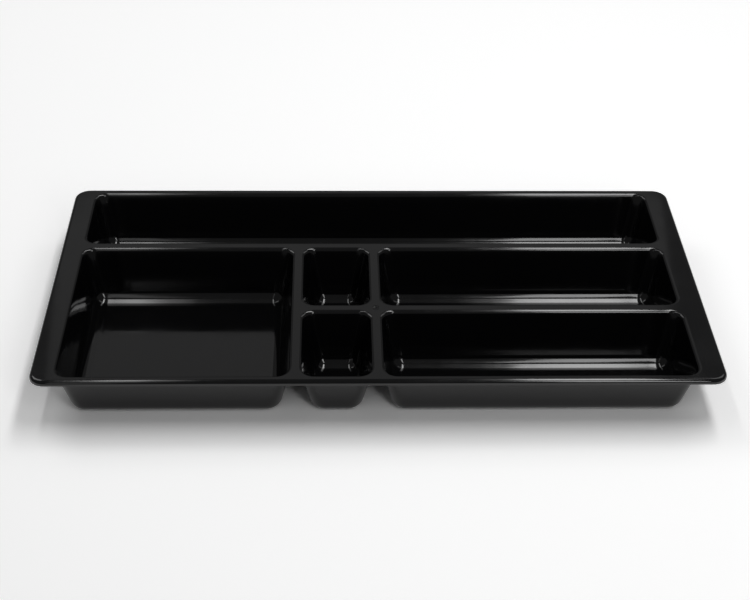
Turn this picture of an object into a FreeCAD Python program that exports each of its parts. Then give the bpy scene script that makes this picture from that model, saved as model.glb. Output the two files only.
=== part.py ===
"""Thermoformed drawer tray: one sheet drawn into six drafted pockets inside a turned-down rim.

Units are millimetres.  +X runs along the length, +Y from the front edge to the back edge and
+Z up.  The origin is under the middle of the tray, level with the undersides of the pockets.
"""
import FreeCAD, Part
import math
import os

from FreeCAD import Vector

# ---- Driving dimensions, mm ---------------------------------------------------------------

# Formed wall
SHEET = 1.5                  # wall after forming
POCKET_DEPTH = 47.4          # top of the rim down to a pocket's floor
SIDE_DRAFT = 11.0            # degrees that a pocket's left and right walls lean outwards
FRONT_DRAFT = 15.5           # degrees that its front and back walls lean outwards
POCKET_RADIUS = 11.0         # ball that rounds a pocket's corners and floor edges, inner side
MOUTH_RADIUS = 3.0           # top face rolling over into a pocket wall

# Column widths, left to right, and what lies between them
LEFT_FLANGE = 20.4
LEFT_POCKET_WIDTH = 188.4
SMALL_POCKET_WIDTH = 57.8
LONG_POCKET_WIDTH = 256.8
RIGHT_FLANGE = 22.4
UPRIGHT_RIB_WIDTH = 9.6      # ribs that run front to back

# Row depths, front to back, and what lies between them
FRONT_FLANGE = 8.0
FRONT_ROW_DEPTH = 87.4
MIDDLE_ROW_DEPTH = 85.8
BACK_ROW_DEPTH = 83.4
BACK_FLANGE = 8.8
CROSS_RIB_WIDTH = 10.0       # ribs that run side to side

# Rim
RIM_CORNER_RADIUS = 13.3
RIM_ROLL_RADIUS = 3.2        # top face rolling over into the lip
LIP_HEIGHT = 4.2             # top of the rim down to the lip's cut edge

# Round dimple where the ribs cross beside the long pockets
DIMPLE_WIDTH = 7.0
DIMPLE_DEPTH = 0.6

# ---- Sizes that follow --------------------------------------------------------------------

TRAY_WIDTH = (LEFT_FLANGE + LEFT_POCKET_WIDTH + SMALL_POCKET_WIDTH + LONG_POCKET_WIDTH
              + RIGHT_FLANGE + 2 * UPRIGHT_RIB_WIDTH)
TRAY_DEPTH = (FRONT_FLANGE + FRONT_ROW_DEPTH + MIDDLE_ROW_DEPTH + BACK_ROW_DEPTH
              + BACK_FLANGE + 2 * CROSS_RIB_WIDTH)
RIM_TOP = POCKET_DEPTH + SHEET
PLATE_MIDDLE = RIM_TOP - SHEET / 2

CLEAR = 5.0                  # how far a cutting form stands past what it cuts
NEAR = 1e-4                  # how closely two heights agree


def spans(start, widths, gap):
    """Low and high ends of a run of widths with the same gap between neighbours."""
    ends = []
    for width in widths:
        ends.append((start, start + width))
        start += width + gap
    return ends


LEFT_SPAN, SMALL_SPAN, LONG_SPAN = spans(
    LEFT_FLANGE - TRAY_WIDTH / 2,
    (LEFT_POCKET_WIDTH, SMALL_POCKET_WIDTH, LONG_POCKET_WIDTH),
    UPRIGHT_RIB_WIDTH)
FRONT_SPAN, MIDDLE_SPAN, BACK_SPAN = spans(
    FRONT_FLANGE - TRAY_DEPTH / 2,
    (FRONT_ROW_DEPTH, MIDDLE_ROW_DEPTH, BACK_ROW_DEPTH),
    CROSS_RIB_WIDTH)

# Each pocket's mouth, where its walls would meet the top face with no rounding:
# its span along X, then its span along Y.
POCKETS = {
    "deep_tray": (LEFT_SPAN, (FRONT_SPAN[0], MIDDLE_SPAN[1])),
    "front_cup": (SMALL_SPAN, FRONT_SPAN),
    "middle_cup": (SMALL_SPAN, MIDDLE_SPAN),
    "front_trough": (LONG_SPAN, FRONT_SPAN),
    "middle_trough": (LONG_SPAN, MIDDLE_SPAN),
    "back_trough": ((LEFT_SPAN[0], LONG_SPAN[1]), BACK_SPAN),
}


def rounded_rectangle(span_x, span_y, radius, height):
    """Closed wire of four lines and four arcs in the level plane at a height."""
    (x0, x1), (y0, y1) = span_x, span_y
    centres = ((x1 - radius, y1 - radius), (x0 + radius, y1 - radius),
               (x0 + radius, y0 + radius), (x1 - radius, y0 + radius))

    def on_arc(centre, degrees):
        angle = math.radians(degrees)
        return Vector(centre[0] + radius * math.cos(angle),
                      centre[1] + radius * math.sin(angle), height)

    edges = []
    for quarter, centre in enumerate(centres):
        first = 90.0 * quarter
        after = centres[(quarter + 1) % 4]
        edges.append(Part.Arc(on_arc(centre, first), on_arc(centre, first + 45.0),
                              on_arc(centre, first + 90.0)).toShape())
        edges.append(Part.makeLine(on_arc(centre, first + 90.0), on_arc(after, first + 90.0)))
    return Part.Wire(edges)


def grown(span, amount):
    """A span with both ends moved outwards."""
    return (span[0] - amount, span[1] + amount)


def level_edges(shape, height):
    """Edges that lie wholly in the level plane at a height."""
    return [edge for edge in shape.Edges
            if abs(edge.BoundBox.ZMin - height) < NEAR and abs(edge.BoundBox.ZMax - height) < NEAR]


def edges_below_top(shape, top):
    """Edges that don't lie wholly in the level plane of the top."""
    return [edge for edge in shape.Edges if edge.BoundBox.ZMin < top - NEAR]


def leaning(span, draft, thickness, height):
    """A mouth's span carried down or up two leaning walls to a height.

    thickness moves both walls outwards, square to themselves.
    """
    angle = math.radians(draft)
    return grown(span, thickness / math.cos(angle) + (height - RIM_TOP) * math.tan(angle))


def drafted_block(mouth, thickness, top, floor):
    """Block between two levels whose walls lean outwards from a mouth's rectangle."""
    span_x, span_y = mouth
    rings = []
    for height in (floor, top):
        x0, x1 = leaning(span_x, SIDE_DRAFT, thickness, height)
        y0, y1 = leaning(span_y, FRONT_DRAFT, thickness, height)
        rings.append([Vector(x, y, height) for x, y in ((x0, y0), (x1, y0), (x1, y1), (x0, y1))])
    low, high = rings
    outlines = [low[::-1], high]
    for corner in range(4):
        after = (corner + 1) % 4
        outlines.append([low[corner], low[after], high[after], high[corner]])
    return Part.Solid(Part.Shell([Part.Face(Part.makePolygon(points + points[:1]))
                                  for points in outlines]))


def pocket_form(mouth, thickness, radius, top, floor):
    """Drafted block rounded by one ball along its upright corners and its floor edges."""
    block = drafted_block(mouth, thickness, top, floor)
    return block.makeFillet(radius, edges_below_top(block, top))


def pocket_hollow(mouth):
    """The space inside one pocket, standing past the top face so that it cuts cleanly."""
    return pocket_form(mouth, 0.0, POCKET_RADIUS, RIM_TOP + CLEAR, SHEET)


def pocket_skin(mouth):
    """The outside of one pocket, one wall thickness around its hollow."""
    return pocket_form(mouth, SHEET, POCKET_RADIUS + SHEET, PLATE_MIDDLE, 0.0)


def rim_slab(inset, top):
    """Slab inside the rim's outline, from the lip's cut edge up to a height."""
    outline = rounded_rectangle((inset - TRAY_WIDTH / 2, TRAY_WIDTH / 2 - inset),
                                (inset - TRAY_DEPTH / 2, TRAY_DEPTH / 2 - inset),
                                RIM_CORNER_RADIUS - inset, RIM_TOP - LIP_HEIGHT)
    return Part.Face(outline).extrude(Vector(0, 0, top - (RIM_TOP - LIP_HEIGHT)))


def rim():
    """Flat plate with the lip turned down all round it, thinned where it rolls over."""
    outside = rim_slab(0.0, RIM_TOP)
    outside = outside.makeFillet(RIM_ROLL_RADIUS, level_edges(outside, RIM_TOP))
    return outside.cut(rim_slab(SHEET, RIM_TOP - SHEET))


def round_pocket_mouths(tray):
    """Roll the top face over into every pocket."""
    return tray.makeFillet(MOUTH_RADIUS, mouth_edges(tray))


def mouth_edges(tray):
    """Edges of the top face that run round the pockets' mouths."""
    found = []
    for edge in level_edges(tray, RIM_TOP):
        middle = edge.valueAt((edge.FirstParameter + edge.LastParameter) / 2)
        if any(inside(middle, mouth) for mouth in POCKETS.values()):
            found.append(edge)
    return found


def inside(point, mouth):
    """Whether a point lies in a mouth's rectangle."""
    (x0, x1), (y0, y1) = (grown(span, NEAR) for span in mouth)
    return x0 <= point.x <= x1 and y0 <= point.y <= y1


def press_dimple(tray):
    """Shallow round dimple at the crossing of the ribs beside the two long pockets."""
    across = (SMALL_SPAN[1] + LONG_SPAN[0]) / 2
    along = (FRONT_SPAN[1] + MIDDLE_SPAN[0]) / 2
    ball_radius = ((DIMPLE_WIDTH / 2) ** 2 + DIMPLE_DEPTH ** 2) / (2 * DIMPLE_DEPTH)
    centre = Vector(across, along, RIM_TOP - DIMPLE_DEPTH + ball_radius)
    boss = Part.makeSphere(ball_radius + SHEET, centre)
    below_plate = Part.makeBox(2 * ball_radius, 2 * ball_radius, SHEET + ball_radius,
                               Vector(across - ball_radius, along - ball_radius,
                                      PLATE_MIDDLE - SHEET - ball_radius))
    hollow = Part.makeSphere(ball_radius, centre)
    return tray.fuse(boss.common(below_plate)).cut(hollow)


def build_tray():
    """The whole formed sheet as one solid."""
    mouths = list(POCKETS.values())
    tray = rim().fuse([pocket_skin(mouth) for mouth in mouths])
    tray = tray.cut([pocket_hollow(mouth) for mouth in mouths]).removeSplitter()
    tray = round_pocket_mouths(tray)
    return press_dimple(tray)


os.makedirs("parts", exist_ok=True)
tray_solid = build_tray()
tray_solid.exportStep("parts/tray.step")
print("tray:", len(tray_solid.Solids), "solid, valid", tray_solid.isValid(),
      "volume", round(tray_solid.Volume), "mm3")
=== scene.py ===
"""Dresses the drawer tray: its formed skin, its gloss black finish, a studio and a camera.

Everything is in metres, in the part's own frame: +X along the length, +Y to the back edge and
+Z up, with the origin under the middle of the tray at the level that it stands on.
"""
import logging
import math
from dataclasses import dataclass, field
from enum import Enum
from typing import Any, Optional

import bmesh
import bpy
import numpy as np
from mathutils import Matrix, Vector


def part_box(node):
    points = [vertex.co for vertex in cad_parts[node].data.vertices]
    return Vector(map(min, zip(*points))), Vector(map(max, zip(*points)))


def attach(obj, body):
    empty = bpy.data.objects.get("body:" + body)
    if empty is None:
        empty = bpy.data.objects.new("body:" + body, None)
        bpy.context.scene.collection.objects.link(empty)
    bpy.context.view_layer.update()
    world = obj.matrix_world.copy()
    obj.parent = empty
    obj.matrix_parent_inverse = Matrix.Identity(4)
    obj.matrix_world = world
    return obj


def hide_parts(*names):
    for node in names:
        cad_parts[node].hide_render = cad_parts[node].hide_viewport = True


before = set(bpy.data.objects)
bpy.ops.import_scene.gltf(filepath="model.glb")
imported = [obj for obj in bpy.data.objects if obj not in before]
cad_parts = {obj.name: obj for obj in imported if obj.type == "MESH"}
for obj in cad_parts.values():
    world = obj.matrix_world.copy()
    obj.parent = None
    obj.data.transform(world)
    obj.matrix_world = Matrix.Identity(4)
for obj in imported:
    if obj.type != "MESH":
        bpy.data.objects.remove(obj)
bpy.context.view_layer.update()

LOG = logging.getLogger("tray")
MM = 0.001
UP = np.array([0.0, 0.0, 1.0])
REFRACTION = 1.54       # of high-impact polystyrene


# ---- Finishes ------------------------------------------------------------------------------


def linear(code: str) -> tuple[float, float, float, float]:
    """Turns an sRGB hex colour into linear red, green, blue and an alpha of one.

    Args:
        code: Six hex digits after a hash sign.

    Returns:
        Four numbers for a colour socket.
    """
    channels = [int(code[at:at + 2], 16) / 255 for at in (1, 3, 5)]
    red, green, blue = (c / 12.92 if c <= 0.04045 else ((c + 0.055) / 1.055) ** 2.4
                        for c in channels)
    return red, green, blue, 1.0


def add_node(tree: bpy.types.NodeTree, kind: str, settings: Optional[dict[str, Any]] = None,
             links: Optional[dict[Any, Any]] = None) -> bpy.types.Node:
    """Adds one shader node.

    Args:
        tree: The node tree that takes it.
        kind: The node's type name.
        settings: Values for its properties, or for its inputs where it has no such property.
        links: Input name or number to the output socket that feeds it.

    Returns:
        The new node.
    """
    node = tree.nodes.new(kind)
    for name, value in (settings or {}).items():
        if isinstance(name, str) and hasattr(node, name):
            setattr(node, name, value)
        else:
            node.inputs[name].default_value = value
    for name, socket in (links or {}).items():
        tree.links.new(socket, node.inputs[name])
    return node


def add_noise(tree: bpy.types.NodeTree, size: float, detail: float,
              roughness: float = 0.5) -> bpy.types.NodeSocket:
    """Adds a noise pattern that is fixed to the piece.

    Args:
        tree: The node tree that takes it.
        size: About the size of one patch of the pattern.
        detail: How many finer patterns lie on the first.
        roughness: How strong each is beside the one before.

    Returns:
        The socket with the pattern's values, from about 0.3 to 0.7.
    """
    place = add_node(tree, "ShaderNodeTexCoord").outputs["Object"]
    settings = {"Scale": 1 / size, "Detail": detail, "Roughness": roughness}
    return add_node(tree, "ShaderNodeTexNoise", settings, {"Vector": place}).outputs["Fac"]


def add_bump(tree: bpy.types.NodeTree, height: float,
             pattern: bpy.types.NodeSocket) -> bpy.types.NodeSocket:
    """Adds a bump of the given height that follows a pattern, and returns its normal."""
    settings = {"Strength": 1.0, "Distance": height}
    return add_node(tree, "ShaderNodeBump", settings, {"Height": pattern}).outputs["Normal"]


def new_material(name: str) -> bpy.types.Material:
    """Makes a material with an empty node tree.

    Args:
        name: The material's name.

    Returns:
        The new material.
    """
    made = bpy.data.materials.new(name)
    made.use_nodes = True
    made.node_tree.nodes.clear()
    return made


def finish_material(made: bpy.types.Material, surface: bpy.types.NodeSocket) -> None:
    """Links a shader's socket to the material's output."""
    add_node(made.node_tree, "ShaderNodeOutputMaterial", links={"Surface": surface})


@dataclass(frozen=True)
class FormedPolystyrene:
    """High-impact polystyrene sheet, dyed right through with carbon black and vacuum formed.

    The sheet keeps the gloss of its polishing rolls, so lamps show in it as clear bands, and
    forming leaves a faint orange peel that softens the bands' edges.
    """

    name: str = "black_polystyrene_vacuum_formed"
    colour: str = "#060607"
    gloss_low: float = 0.08          # roughness where the sheet lay freely
    gloss_high: float = 0.12         # roughness where it was drawn against the mould
    gloss_patch: float = 28 * MM     # size of the patches between those two
    patch_detail: float = 2.0
    patch_low: float = 0.35          # values of the pattern at which both kinds are reached
    patch_high: float = 0.65
    peel_size: float = 2.4 * MM      # one bump of the orange peel, drawn coarser than it is
    peel_detail: float = 1.0
    peel_roughness: float = 0.4
    peel_height: float = 0.0006 * MM

    def material(self) -> bpy.types.Material:
        """Builds the finish.

        Returns:
            A material whose roughness and bump follow Object coordinates.
        """
        made = new_material(self.name)
        tree = made.node_tree
        patches = add_noise(tree, self.gloss_patch, self.patch_detail)
        gloss = add_node(tree, "ShaderNodeMapRange",
                         {"From Min": self.patch_low, "From Max": self.patch_high,
                          "To Min": self.gloss_low, "To Max": self.gloss_high},
                         {"Value": patches})
        peel = add_noise(tree, self.peel_size, self.peel_detail, self.peel_roughness)
        shader = add_node(tree, "ShaderNodeBsdfPrincipled",
                          {"Base Color": linear(self.colour), "IOR": REFRACTION},
                          {"Roughness": gloss.outputs["Result"],
                           "Normal": add_bump(tree, self.peel_height, peel)})
        finish_material(made, shader.outputs["BSDF"])
        return made


@dataclass(frozen=True)
class TrimmedEdge:
    """The same sheet where a blade cut the tray out of it.

    The cut is matt and a shade paler than the rolled faces, with a fine grain of drag marks.
    """

    name: str = "black_polystyrene_knife_trimmed"
    colour: str = "#202021"
    roughness: float = 0.55
    drag_size: float = 0.4 * MM
    drag_detail: float = 2.0
    drag_height: float = 0.01 * MM

    def material(self) -> bpy.types.Material:
        """Builds the finish.

        Returns:
            A material whose drag marks follow Object coordinates.
        """
        made = new_material(self.name)
        tree = made.node_tree
        drag = add_noise(tree, self.drag_size, self.drag_detail)
        shader = add_node(tree, "ShaderNodeBsdfPrincipled",
                          {"Base Color": linear(self.colour), "Roughness": self.roughness,
                           "IOR": REFRACTION},
                          {"Normal": add_bump(tree, self.drag_height, drag)})
        finish_material(made, shader.outputs["BSDF"])
        return made


# ---- Meshes from grids of points -----------------------------------------------------------


class Face(Enum):
    """Which side of the sheet a patch belongs to."""

    TOP = "top"
    UNDERSIDE = "underside"
    CUT = "cut edge"


@dataclass
class Skin:
    """Grids of points gathered into one mesh."""

    points: list[np.ndarray] = field(default_factory=list)
    quads: list[np.ndarray] = field(default_factory=list)
    kinds: list[np.ndarray] = field(default_factory=list)
    count: int = 0

    def add_grid(self, grid: np.ndarray, closed: bool, flipped: bool, face: Face) -> None:
        """Adds one grid of points and the quads between them.

        Quad (row, column) joins the points (row, column), (row, column + 1),
        (row + 1, column + 1) and (row + 1, column).

        Args:
            grid: Points as an array of rows, columns and three coordinates.
            closed: Whether the last column joins the first.
            flipped: Whether the quads run the other way round.
            face: The side of the sheet that the grid shows.
        """
        rows, columns = grid.shape[:2]
        names = self.count + np.arange(rows * columns).reshape(rows, columns)
        if closed:
            names = np.hstack([names, names[:, :1]])
        quads = np.stack([names[:-1, :-1], names[:-1, 1:], names[1:, 1:], names[1:, :-1]],
                         axis=-1).reshape(-1, 4)
        self.points.append(grid.reshape(-1, 3))
        self.quads.append(quads[:, ::-1] if flipped else quads)
        self.kinds.append(np.full(len(quads), int(face is Face.CUT)))
        self.count += rows * columns

    def add_sheet(self, grid: np.ndarray, normals: np.ndarray, thickness: float, closed: bool,
                  flipped: bool) -> None:
        """Adds a patch of the sheet's top side and the same patch of its underside.

        An underside point is its top point less the thickness times the unit normal there.

        Args:
            grid: Points of the top side.
            normals: Outward unit normals at those points.
            thickness: The sheet's thickness.
            closed: Whether the last column joins the first.
            flipped: Whether the top side's quads run the other way round.
        """
        self.add_grid(grid, closed, flipped, Face.TOP)
        self.add_grid(grid - thickness * normals, closed, not flipped, Face.UNDERSIDE)

    def mesh(self, name: str, merge: float) -> bpy.types.Mesh:
        """Makes the mesh and merges the points that its patches share.

        Args:
            name: The mesh's name.
            merge: Points nearer than this become one.

        Returns:
            A closed mesh with smooth faces.
        """
        points = np.concatenate(self.points)
        quads = np.concatenate(self.quads)
        made = bpy.data.meshes.new(name)
        made.vertices.add(len(points))
        made.vertices.foreach_set("co", points.ravel())
        made.loops.add(quads.size)
        made.loops.foreach_set("vertex_index", quads.ravel())
        made.polygons.add(len(quads))
        made.polygons.foreach_set("loop_start", np.arange(0, quads.size, 4))
        made.polygons.foreach_set("material_index", np.concatenate(self.kinds))
        made.update(calc_edges=True)
        work = bmesh.new()
        work.from_mesh(made)
        bmesh.ops.remove_doubles(work, verts=work.verts, dist=merge)
        work.to_mesh(made)
        work.free()
        made.polygons.foreach_set("use_smooth", np.ones(len(made.polygons), dtype=bool))
        return made


# ---- The tray ------------------------------------------------------------------------------


@dataclass(frozen=True)
class Axis:
    """One axis of the tray's plan: where its pockets begin and end.

    widths holds, from one edge to the other, a flange, a pocket, a rib, a pocket and so on.
    """

    start: float
    widths: tuple[float, ...]
    roll: float
    radius: float

    @property
    def stops(self) -> np.ndarray:
        """Both edges and each mouth's two sides, in order."""
        return self.start + np.concatenate([[0.0], np.cumsum(self.widths)])

    @property
    def last(self) -> int:
        """The number of the last pocket, counted from zero."""
        return len(self.widths) // 2 - 1

    def mouth(self, first: int, last: int) -> tuple[float, float]:
        """The span of a mouth that runs from one pocket of this axis to another."""
        return float(self.stops[2 * first + 1]), float(self.stops[2 * last + 2])

    @property
    def lines(self) -> np.ndarray:
        """The flat top's first edge, the middle of each rib and the flat top's last edge."""
        stops = self.stops
        middles = (stops[2:-2:2] + stops[3:-2:2]) / 2
        return np.concatenate([[stops[0] + self.roll], middles, [stops[-1] - self.roll]])

    def samples(self, first: int, last: int, corner_steps: int, spacing: float) -> np.ndarray:
        """Places along the axis from the line before one pocket to the line after another.

        Each pocket gives corner_steps even steps up to the end of its mouth's corner, even steps
        of about the spacing along its straight side, and corner_steps more to the next line.

        Args:
            first: The first pocket.
            last: The last pocket.
            corner_steps: Steps between a line and the end of a corner.
            spacing: The length of a step along a straight side.

        Returns:
            The places in rising order, both ends included.
        """
        runs = []
        for pocket in range(first, last + 1):
            low, high = self.mouth(pocket, pocket)
            before, after = self.lines[pocket], self.lines[pocket + 1]
            begin, end = low + self.radius, high - self.radius
            straight = max(2, round((end - begin) / spacing))
            runs += [np.linspace(before, begin, corner_steps, endpoint=False),
                     np.linspace(begin, end, straight, endpoint=False),
                     np.linspace(end, after, corner_steps, endpoint=False)]
        return np.concatenate(runs + [self.lines[last + 1:last + 2]])


@dataclass(frozen=True)
class Section:
    """A profile from the flat top down to a pocket's floor, one number for each station.

    depth is how far a station lies below the top and depth_rate how fast that grows along the
    profile. The other four hold, for the walls across X and then for those across Y, how far
    the station lies inside the sharp mouth, how far the leaning wall does, and both rates.
    """

    depth: np.ndarray
    depth_rate: np.ndarray
    inset: np.ndarray
    inset_rate: np.ndarray
    lean: np.ndarray
    lean_rate: np.ndarray


@dataclass(frozen=True)
class Ring:
    """Directions round a pocket, one for each column of its grids.

    corner holds -1 to 1 across each side and exactly one at a corner, facing is the unit
    direction out of the pocket, and edge is the matching point on the cell's outline.
    """

    corner: np.ndarray
    facing: np.ndarray
    edge: np.ndarray


@dataclass(frozen=True)
class Pocket:
    """One pocket: which columns and rows of the plan it takes up."""

    name: str
    columns: tuple[int, int]
    rows: tuple[int, int]


@dataclass
class FormedTray:
    """The whole tray, one sheet drawn into six pockets inside a turned-down rim.

    Sizes are in metres, and the tray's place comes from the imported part's box.
    """

    sheet: float = 1.5 * MM
    pocket_depth: float = 47.4 * MM
    side_draft: float = math.radians(11.0)
    front_draft: float = math.radians(15.5)
    pocket_radius: float = 11.0 * MM
    mouth_radius: float = 3.0 * MM
    rim_corner_radius: float = 13.3 * MM
    rim_roll_radius: float = 3.2 * MM
    lip_height: float = 4.2 * MM
    widths: tuple[float, ...] = (20.4 * MM, 188.4 * MM, 9.6 * MM, 57.8 * MM, 9.6 * MM,
                                 256.8 * MM, 22.4 * MM)
    depths: tuple[float, ...] = (8.0 * MM, 87.4 * MM, 10.0 * MM, 85.8 * MM, 10.0 * MM,
                                 83.4 * MM, 8.8 * MM)
    pockets: tuple[Pocket, ...] = (
        Pocket("deep_tray", (0, 0), (0, 1)),
        Pocket("front_cup", (1, 1), (0, 0)),
        Pocket("middle_cup", (1, 1), (1, 1)),
        Pocket("front_trough", (2, 2), (0, 0)),
        Pocket("middle_trough", (2, 2), (1, 1)),
        Pocket("back_trough", (0, 2), (2, 2)),
    )
    dimple_width: float = 7.0 * MM
    dimple_depth: float = 0.6 * MM
    dimple_column: int = 2      # the lines of the plan that cross at the dimple
    dimple_row: int = 1
    flange_droop: float = 0.4 * MM      # how far a side flange hangs at its edge
    crease: float = math.radians(50.0)  # edges that turn further than this stay sharp

    corner_steps: int = 8       # steps over half a corner
    mouth_steps: int = 7
    wall_steps: int = 5
    floor_steps: int = 9
    roll_steps: int = 8
    flat_steps: int = 4
    side_spacing: float = 6.0 * MM
    dimple_cuts: int = 5        # new points along each edge of the faces round the dimple
    dimple_reach: float = 3.0   # how far from its middle they are added, in dimple radii
    support: float = 0.3 * MM   # width of the narrow quads that keep a flat face flat
    same_point: float = 0.001 * MM      # points nearer than this are the same point

    def __post_init__(self) -> None:
        """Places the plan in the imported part's box."""
        low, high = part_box("tray")
        self.top = float(high[2])
        self.across = Axis(float(low[0]), self.widths, self.rim_roll_radius, self.pocket_radius)
        self.along = Axis(float(low[1]), self.depths, self.rim_roll_radius, self.pocket_radius)
        self.skin = Skin()

    # -- profiles --

    def pocket_section(self) -> Section:
        """A pocket's profile: the mouth's roll, the leaning wall and the floor's fillet.

        The stations' depths are shared by all four walls. The mouth is an arc of the mouth
        radius r, so depth = r (1 - cos a) and inset = r sin a - r tan (turn / 2), up to where a
        reaches the wall's turn. The wall's inset is its depth times the tangent of its draft.
        The fillet is an arc of the pocket radius R about a centre that lies R above the floor,
        so depth = floor - R (1 - cos a) and inset = centre - R sin a.

        Returns:
            The stations in order from the flat top to the flat floor.
        """
        mouth, ball = self.mouth_radius, self.pocket_radius
        drafts = np.array([[self.side_draft], [self.front_draft]])
        turn = math.pi / 2 - min(self.side_draft, self.front_draft)
        roll = np.linspace(0.0, turn, self.mouth_steps + 1)
        sweep = np.linspace(turn, 0.0, self.floor_steps + 1)
        rolled = mouth * (1 - np.cos(roll))
        filleted = self.pocket_depth - ball * (1 - np.cos(sweep))
        wall = np.linspace(rolled[-1], filleted[0], self.wall_steps + 1)[1:-1]
        depth = np.concatenate([rolled, wall, filleted])
        angle = np.concatenate([roll, np.full_like(wall, math.pi / 2), sweep])
        upper = depth < self.pocket_depth / 2

        slope, turns = np.tan(drafts), math.pi / 2 - drafts
        lean, lean_rate = depth * slope, np.sin(angle) * slope
        centre = (self.pocket_depth - ball) * slope + ball / np.cos(drafts)
        arc = np.where(upper, mouth * (np.sin(angle) - np.tan(turns / 2)),
                       centre - ball * np.sin(angle))
        on_arc = angle <= turns
        return Section(depth, np.sin(angle), np.where(on_arc, arc, lean),
                       np.where(on_arc, np.cos(angle), lean_rate), lean, lean_rate)

    # -- outlines --

    def side(self, places: np.ndarray, span: tuple[float, float]) -> tuple[np.ndarray, ...]:
        """Reads one side of a cell as corner shares and directions.

        Args:
            places: The side's places in rising order.
            span: The mouth's span along the side.

        Returns:
            For each place, -1 to 1 along the side, and the angle by which its facing turns away
            from the side's own direction, from -45 to 45 degrees.
        """
        steps = np.arange(len(places))
        begin = np.clip(steps / self.corner_steps, 0, 1)
        end = np.clip(steps[::-1] / self.corner_steps, 0, 1)
        middle = (span[0] + span[1]) / 2
        half = (span[1] - span[0]) / 2 - self.pocket_radius
        share = np.clip((places - middle) / half, -1, 1)
        return share, math.pi / 4 * (begin - end)

    def rounded_edge(self, edge: np.ndarray) -> np.ndarray:
        """Moves points of the flat top's outline onto its rounded corners.

        Points in a corner zone share out the outline's arc and the straight piece before it, so
        that their order and ends stay.

        Args:
            edge: Points on the outline with square corners.

        Returns:
            The moved points.
        """
        radius = self.rim_corner_radius - self.rim_roll_radius
        lines = [(axis.lines[0], axis.lines[-1]) for axis in (self.across, self.along)]
        arc = radius * math.pi / 4
        moved = edge.copy()
        for ends in ((0, 0), (0, 1), (1, 0), (1, 1)):
            sign = 2 * np.array(ends) - 1
            corner = np.array([lines[0][ends[0]], lines[1][ends[1]]])
            gap = np.abs(edge - corner)
            for run, other in ((0, 1), (1, 0)):
                zone = self.zone(run, ends[run])
                on_line = gap[:, other] < self.same_point
                near = on_line & (gap[:, run] < zone - self.same_point)
                travel = gap[near, run] / zone * (arc + zone - radius)
                angle = math.pi / 4 + np.minimum(travel / radius, math.pi / 4)
                past = np.maximum(travel - arc, 0)
                target = np.empty((len(travel), 2))
                target[:, run] = corner[run] - sign[run] * (radius * (1 - np.cos(angle)) + past)
                target[:, other] = corner[other] - sign[other] * radius * (1 - np.sin(angle))
                moved[near] = target
        return moved

    def zone(self, axis: int, end: int) -> float:
        """Measures from the end of the flat top to where the outermost mouth runs straight.

        Args:
            axis: Zero for the plan's axis along X and one for its axis along Y.
            end: Zero for the axis's first end and one for its last.

        Returns:
            The length of the corner zone there.
        """
        plan = (self.across, self.along)[axis]
        if end == 0:
            return plan.stops[1] + plan.radius - plan.lines[0]
        return plan.lines[-1] - (plan.stops[-2] - plan.radius)

    def ring(self, pocket: Pocket) -> Ring:
        """Walks round a pocket's cell, anticlockwise from its front left corner.

        Args:
            pocket: The pocket.

        Returns:
            The directions from the pocket to its cell's outline.
        """
        steps, spacing = self.corner_steps, self.side_spacing
        span_x, span_y = self.across.mouth(*pocket.columns), self.along.mouth(*pocket.rows)
        places_x = self.across.samples(*pocket.columns, steps, spacing)
        places_y = self.along.samples(*pocket.rows, steps, spacing)
        share_x, turn_x = self.side(places_x, span_x)
        share_y, turn_y = self.side(places_y, span_y)
        ones_x, ones_y = np.ones_like(places_x), np.ones_like(places_y)
        sides = (
            (share_x, -ones_x, -math.pi / 2 + turn_x, places_x, places_y[0] * ones_x),
            (ones_y, share_y, turn_y, places_x[-1] * ones_y, places_y),
            (share_x[::-1], ones_x, math.pi / 2 + turn_x, places_x[::-1], places_y[-1] * ones_x),
            (-ones_y, share_y[::-1], math.pi + turn_y, places_x[0] * ones_y, places_y[::-1]),
        )
        corner_x, corner_y, angle, edge_x, edge_y = (
            np.concatenate([side[part][:-1] for side in sides]) for part in range(5))
        facing = np.stack([np.cos(angle), np.sin(angle)], axis=-1)
        edge = self.rounded_edge(np.stack([edge_x, edge_y], axis=-1))
        return Ring(np.stack([corner_x, corner_y], axis=-1), facing, edge)

    # -- patches --

    def add_pocket(self, pocket: Pocket) -> None:
        """Adds one cell: the flat top round a pocket, its mouth, walls and floor.

        Each station of the section becomes a rounded rectangle. Its corner radius is the pocket
        radius plus the wall's lean at that depth less the station's own inset, so the wall keeps
        one radius and both arcs end tangent to it. A normal is square to the way round the ring
        and to the way down the profile.

        Args:
            pocket: The pocket.
        """
        section, ring = self.pocket_section(), self.ring(pocket)
        (x0, x1), (y0, y1) = self.across.mouth(*pocket.columns), self.along.mouth(*pocket.rows)
        middle = np.array([(x0 + x1) / 2, (y0 + y1) / 2])
        half = np.array([(x1 - x0) / 2, (y1 - y0) / 2])
        inset, inset_rate, lean, lean_rate = (
            part.T[:, None] for part in (section.inset, section.inset_rate, section.lean,
                                         section.lean_rate))
        reach = self.pocket_radius + lean
        radius = reach - inset
        plan = middle + ring.corner * (half - reach) + radius * ring.facing
        height = np.broadcast_to(self.top - section.depth[:, None], plan.shape[:2])
        walls = np.dstack([plan, height])

        outward = radius[..., ::-1] * ring.facing
        outward /= np.linalg.norm(outward, axis=2, keepdims=True)
        way = (lean_rate - inset_rate) * ring.facing - lean_rate * ring.corner
        rise = -(outward * way).sum(axis=2)
        normals = np.dstack([-section.depth_rate[:, None, None] * outward, rise])
        normals /= np.linalg.norm(normals, axis=2, keepdims=True)
        self.skin.add_sheet(walls, normals, self.sheet, closed=True, flipped=False)
        self.add_flat(ring.edge, plan[0])
        self.add_floor(pocket, walls[-1])

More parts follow.
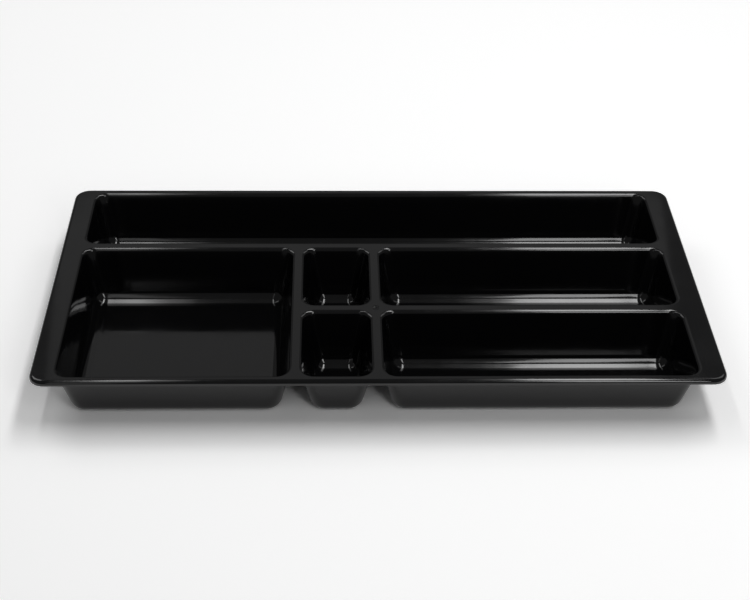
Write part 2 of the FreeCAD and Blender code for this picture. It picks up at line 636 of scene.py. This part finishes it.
    def add_flat(self, outer: np.ndarray, inner: np.ndarray) -> None:
        """Adds the flat top between a cell's outline and its pocket's mouth.

        A point is the outline's point plus a share of the way to the mouth's point. The first
        and last shares are narrow, which keeps the flat's shading out of the rolls beside it.

        Args:
            outer: Points on the cell's outline.
            inner: The matching points on the mouth.
        """
        reach = np.linalg.norm(inner - outer, axis=1)[None]
        narrow = self.support / reach
        middle = np.linspace(0, 1, self.flat_steps + 1)[1:-1, None] * np.ones_like(reach)
        shares = np.vstack([0 * reach, narrow, middle, 1 - narrow, 1 + 0 * reach])[..., None]
        plan = outer[None] + shares * (inner - outer)[None]
        grid = np.dstack([plan, np.full(plan.shape[:2], self.top)])
        normals = np.broadcast_to(UP, grid.shape)
        self.skin.add_sheet(grid, normals, self.sheet, closed=True, flipped=False)

    def add_floor(self, pocket: Pocket, rim: np.ndarray) -> None:
        """Adds a pocket's floor as a Coons patch between the four sides of its fillet.

        A point is the blend of the front and back sides, plus the blend of the left and right
        sides, less the blend of the four corners.

        Args:
            pocket: The pocket.
            rim: The fillet's last ring, anticlockwise from the front left corner.
        """
        columns = len(self.across.samples(*pocket.columns, self.corner_steps, self.side_spacing))
        rows = len(self.along.samples(*pocket.rows, self.corner_steps, self.side_spacing))
        loop = np.vstack([rim, rim[:1]])
        ends = np.cumsum([0, columns - 1, rows - 1, columns - 1, rows - 1])
        front, right, back, left = (loop[a:b + 1] for a, b in zip(ends[:-1], ends[1:]))
        back, left = back[::-1], left[::-1]
        u = ((front[:, 0] - front[0, 0]) / (front[-1, 0] - front[0, 0]))[None, :, None]
        v = ((left[:, 1] - left[0, 1]) / (left[-1, 1] - left[0, 1]))[:, None, None]
        grid = ((1 - v) * front[None] + v * back[None]
                + (1 - u) * left[:, None] + u * right[:, None]
                - (1 - v) * ((1 - u) * front[0] + u * front[-1])
                - v * ((1 - u) * back[0] + u * back[-1]))
        normals = np.broadcast_to(UP, grid.shape)
        self.skin.add_sheet(grid, normals, self.sheet, closed=False, flipped=False)

    def rim_outline(self) -> tuple[np.ndarray, np.ndarray]:
        """Walks round the whole flat top, anticlockwise from its front left corner.

        Returns:
            The outline's points, and the unit direction out of the tray at each.
        """
        steps, spacing = self.corner_steps, self.side_spacing
        x = self.across.samples(0, self.across.last, steps, spacing)
        y = self.along.samples(0, self.along.last, steps, spacing)
        square = np.concatenate([
            np.stack([x, y[0] + 0 * x], axis=-1)[:-1], np.stack([x[-1] + 0 * y, y], axis=-1)[:-1],
            np.stack([x, y[-1] + 0 * x], axis=-1)[:0:-1],
            np.stack([x[0] + 0 * y, y], axis=-1)[:0:-1]])
        outline = self.rounded_edge(square)
        radius = self.rim_corner_radius - self.rim_roll_radius
        low = np.array([x[0], y[0]]) + radius
        high = np.array([x[-1], y[-1]]) - radius
        facing = outline - np.clip(outline, low, high)
        return outline, facing / np.linalg.norm(facing, axis=1, keepdims=True)

    def add_rim(self) -> None:
        """Adds the rim: its roll, its lip and the cut edge between top side and underside.

        The roll is a quarter arc out of the flat top, and the lip is straight below it. Each
        point is the outline's point plus the roll's reach along its outward direction.
        """
        outline, facing = self.rim_outline()
        roll = np.linspace(0, math.pi / 2, self.roll_steps + 1)
        reach = self.rim_roll_radius * np.append(np.sin(roll), 1.0)
        drop = np.append(self.rim_roll_radius * (1 - np.cos(roll)), self.lip_height)
        out, climb = np.append(np.sin(roll), 1.0), np.append(np.cos(roll), 0.0)
        plan = outline[None] + reach[:, None, None] * facing[None]
        shape = plan.shape[:2]
        grid = np.dstack([plan, np.broadcast_to(self.top - drop[:, None], shape)])
        normals = np.dstack([out[:, None, None] * facing[None],
                             np.broadcast_to(climb[:, None], shape)])
        self.skin.add_sheet(grid, normals, self.sheet, closed=True, flipped=True)
        edge = np.stack([grid[-1], grid[-1] - self.sheet * normals[-1]])
        self.skin.add_grid(edge, closed=True, flipped=True, face=Face.CUT)

    # -- after forming --

    def press_dimple(self, mesh: bpy.types.Mesh) -> None:
        """Presses the shallow round dimple where the ribs cross beside the long pockets.

        The faces round it are divided first. A point of the flat at a distance d from its middle
        then sinks by depth (1 - (d / radius)^2)^2, on the top side and on the underside.

        Args:
            mesh: The tray's merged mesh.
        """
        middle = np.array([self.across.lines[self.dimple_column],
                           self.along.lines[self.dimple_row]])
        radius = self.dimple_width / 2
        reach = self.dimple_reach * radius
        lowest = self.top - self.sheet - self.same_point

        work = bmesh.new()
        work.from_mesh(mesh)
        edges = [edge for edge in work.edges
                 if all(vert.co.z > lowest and (vert.co.xy - Vector(middle)).length < reach
                        for vert in edge.verts)]
        bmesh.ops.subdivide_edges(work, edges=edges, cuts=self.dimple_cuts, use_grid_fill=True)
        work.to_mesh(mesh)
        work.free()

        points = self.read_points(mesh)
        away = np.linalg.norm(points[:, :2] - middle, axis=1) / radius
        sunk = (away < 1) & (points[:, 2] > lowest)
        points[sunk, 2] -= self.dimple_depth * (1 - away[sunk] ** 2) ** 2
        mesh.vertices.foreach_set("co", points.ravel())

    def settle(self, mesh: bpy.types.Mesh) -> None:
        """Lets the side flanges hang, as they do when the sheet cools off the mould.

        A point beyond the outermost mouths sinks by the droop times the square of its share of
        the flange's width.

        Args:
            mesh: The tray's mesh.
        """
        points = self.read_points(mesh)
        stops = self.across.stops
        left = (stops[1] - points[:, 0]) / (stops[1] - stops[0])
        right = (points[:, 0] - stops[-2]) / (stops[-1] - stops[-2])
        share = np.clip(np.maximum(left, right), 0, 1)
        points[:, 2] -= self.flange_droop * share ** 2
        mesh.vertices.foreach_set("co", points.ravel())

    @staticmethod
    def read_points(mesh: bpy.types.Mesh) -> np.ndarray:
        """Reads a mesh's points.

        Args:
            mesh: The mesh.

        Returns:
            An array with one row for each point and three columns.
        """
        points = np.empty(3 * len(mesh.vertices))
        mesh.vertices.foreach_get("co", points)
        return points.reshape(-1, 3)

    # -- the piece --

    def build(self) -> bpy.types.Object:
        """Builds the tray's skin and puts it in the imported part's place.

        Returns:
            The finished object, at the origin.
        """
        for pocket in self.pockets:
            self.add_pocket(pocket)
            LOG.info("pocket %s", pocket.name)
        self.add_rim()
        mesh = self.skin.mesh("formed_tray", self.same_point)
        self.press_dimple(mesh)
        self.settle(mesh)
        mesh.update()
        mesh.set_sharp_from_angle(angle=self.crease)
        piece = bpy.data.objects.new("formed_tray", mesh)
        bpy.context.scene.collection.objects.link(piece)
        piece.data.materials.append(FormedPolystyrene().material())
        piece.data.materials.append(TrimmedEdge().material())
        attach(piece, "root")
        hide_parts("tray")
        LOG.info("formed tray: %d faces", len(mesh.polygons))
        return piece


# ---- Studio --------------------------------------------------------------------------------


class Wall(Enum):
    """Which side of the room a lamp hangs on, with the two directions that its face spans."""

    CEILING = ((1.0, 0.0, 0.0), (0.0, 1.0, 0.0))
    FRONT = ((1.0, 0.0, 0.0), (0.0, 0.0, 1.0))
    BACK = ((1.0, 0.0, 0.0), (0.0, 0.0, -1.0))

    def turn(self) -> Matrix:
        """The rotation that spans the wall with a lamp and faces it into the room."""
        across, along = (Vector(direction) for direction in self.value)
        return Matrix((across, along, across.cross(along))).transposed().to_4x4()


@dataclass(frozen=True)
class Lamp:
    """A flat soft box on one side of the room."""

    name: str
    wall: Wall
    place: tuple[float, float, float]       # of its middle
    size: tuple[float, float]               # across and along its wall
    radiance: float                         # seen directly, one is white

    def build(self) -> None:
        """Adds the lamp. Its power is its radiance times its area times pi."""
        data = bpy.data.lights.new(self.name, "AREA")
        data.shape = "RECTANGLE"
        data.size, data.size_y = self.size
        data.energy = self.radiance * self.size[0] * self.size[1] * math.pi
        lamp = bpy.data.objects.new(self.name, data)
        lamp.matrix_world = Matrix.Translation(self.place) @ self.wall.turn()
        bpy.context.scene.collection.objects.link(lamp)


@dataclass(frozen=True)
class Table:
    """The white table under the tray.

    Rays that see it find it brighter than the lamps light it, by the lift, which takes it from
    grey to white and leaves the tray's shadow on it. It is clear from below, so that the tray's
    underside can be seen.
    """

    name: str = "white_laminate_table"
    colour: str = "#fafafa"
    lift: float = 0.5
    size: float = 12.0
    gap: float = 0.05 * MM      # how far it lies below the tray's floors

    def material(self) -> bpy.types.Material:
        """Builds the finish.

        Returns:
            Matt laminate from above, lifted for the rays that see it, and nothing from below.
        """
        made = new_material(self.name)
        tree = made.node_tree
        path = add_node(tree, "ShaderNodeLightPath").outputs
        direct = add_node(tree, "ShaderNodeMath", {"operation": "MAXIMUM"},
                          {0: path["Is Camera Ray"], 1: path["Is Glossy Ray"]})
        seen = add_node(tree, "ShaderNodeMath", {"operation": "MAXIMUM"},
                        {0: direct.outputs[0], 1: path["Is Transmission Ray"]})
        lift = add_node(tree, "ShaderNodeMath", {"operation": "MULTIPLY", 1: self.lift},
                        {0: seen.outputs[0]})
        laminate = add_node(tree, "ShaderNodeBsdfDiffuse", {"Color": linear(self.colour)})
        lifted = add_node(tree, "ShaderNodeBsdfDiffuse", links={"Color": lift.outputs[0]})
        above = add_node(tree, "ShaderNodeAddShader",
                         links={0: laminate.outputs["BSDF"], 1: lifted.outputs["BSDF"]})
        below = add_node(tree, "ShaderNodeBsdfTransparent")
        side = add_node(tree, "ShaderNodeNewGeometry").outputs["Backfacing"]
        cover = add_node(tree, "ShaderNodeMixShader",
                         links={0: side, 1: above.outputs["Shader"], 2: below.outputs["BSDF"]})
        finish_material(made, cover.outputs["Shader"])
        return made

    def build(self) -> None:
        """Adds the table and leaves it out of the product."""
        half = self.size / 2
        corners = [(-half, -half, -self.gap), (half, -half, -self.gap),
                   (half, half, -self.gap), (-half, half, -self.gap)]
        mesh = bpy.data.meshes.new("table")
        mesh.from_pydata(corners, [], [(0, 1, 2, 3)])
        mesh.materials.append(self.material())
        table = bpy.data.objects.new("table", mesh)
        bpy.context.scene.collection.objects.link(table)


@dataclass(frozen=True)
class Studio:
    """A white table in a dim room, with soft boxes round it.

    The lamps are few, since each one shows in the gloss. The ceiling strips give the bright
    bands in the pockets' rolls and fillets, and the two edges make those bands fade inwards.
    The front strips carry the bands over the rolls, the back panel lights the flat tops, and
    the rear ceiling lights the table.
    """

    room_colour: str = "#616161"
    table: Table = Table()
    lamps: tuple[Lamp, ...] = (
        Lamp("ceiling_strip_left", Wall.CEILING, (-0.50, 0.27, 2.0), (0.12, 1.76), 5.0),
        Lamp("ceiling_left_edge", Wall.CEILING, (-0.40, 0.27, 2.0), (0.08, 1.76), 1.2),
        Lamp("ceiling_strip_right", Wall.CEILING, (0.52, 0.27, 2.0), (0.30, 1.76), 8.0),
        Lamp("ceiling_right_edge", Wall.CEILING, (0.33, 0.27, 2.0), (0.08, 1.76), 0.6),
        Lamp("front_strip_left", Wall.FRONT, (-0.47, -1.2, 1.27), (0.14, 1.46), 0.8),
        Lamp("front_strip_right", Wall.FRONT, (0.47, -1.2, 1.27), (0.26, 1.46), 5.0),
        Lamp("back_panel", Wall.BACK, (0.0, 2.1, 1.62), (1.7, 0.76), 0.17),
        Lamp("rear_ceiling_left", Wall.CEILING, (-1.5, 1.35, 2.0), (1.2, 1.5), 2.0),
        Lamp("rear_ceiling_right", Wall.CEILING, (1.5, 1.35, 2.0), (1.2, 1.5), 1.2),
    )

    def build(self) -> None:
        """Adds the table, the room's dim light and the lamps."""
        self.table.build()
        world = bpy.data.worlds.new("room")
        world.use_nodes = True
        background = world.node_tree.nodes["Background"]
        background.inputs["Color"].default_value = linear(self.room_colour)
        bpy.context.scene.world = world
        for lamp in self.lamps:
            lamp.build()


@dataclass(frozen=True)
class TrayCamera:
    """A camera in front of the tray that looks down on it."""

    distance: float = 1292.14 * MM
    elevation: float = math.radians(35.73)
    heading: float = math.radians(-2.03)
    roll: float = math.radians(1.11)
    aim_right: float = -1.95 * MM       # the aim, from the middle of the rim's top
    aim_back: float = -34.91 * MM
    lens: float = 72.0                  # in millimetres, as is the sensor
    sensor: float = 36.0

    def build(self) -> None:
        """Places the camera on its line of sight through the aim and makes it the scene's."""
        low, high = (Vector(corner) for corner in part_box("tray"))
        aim = Vector(((low.x + high.x) / 2 + self.aim_right,
                      (low.y + high.y) / 2 + self.aim_back, high.z))
        level = math.cos(self.elevation)
        back = Vector((math.sin(self.heading) * level, -math.cos(self.heading) * level,
                       math.sin(self.elevation)))
        right = Vector((math.cos(self.heading), math.sin(self.heading), 0.0))
        turn = Matrix((right, back.cross(right), back)).transposed()
        turn = turn @ Matrix.Rotation(self.roll, 3, "Z")
        data = bpy.data.cameras.new("tray_camera")
        data.lens, data.sensor_width = self.lens, self.sensor
        camera = bpy.data.objects.new("tray_camera", data)
        camera.matrix_world = Matrix.Translation(aim + back * self.distance) @ turn.to_4x4()
        bpy.context.scene.collection.objects.link(camera)
        bpy.context.scene.camera = camera


def main() -> None:
    """Builds the tray, the studio and the camera."""
    logging.basicConfig(level=logging.INFO, format="%(message)s")
    bpy.context.scene.view_settings.view_transform = "Standard"
    FormedTray().build()
    Studio().build()
    TrayCamera().build()


if __name__ == "__main__":
    main()
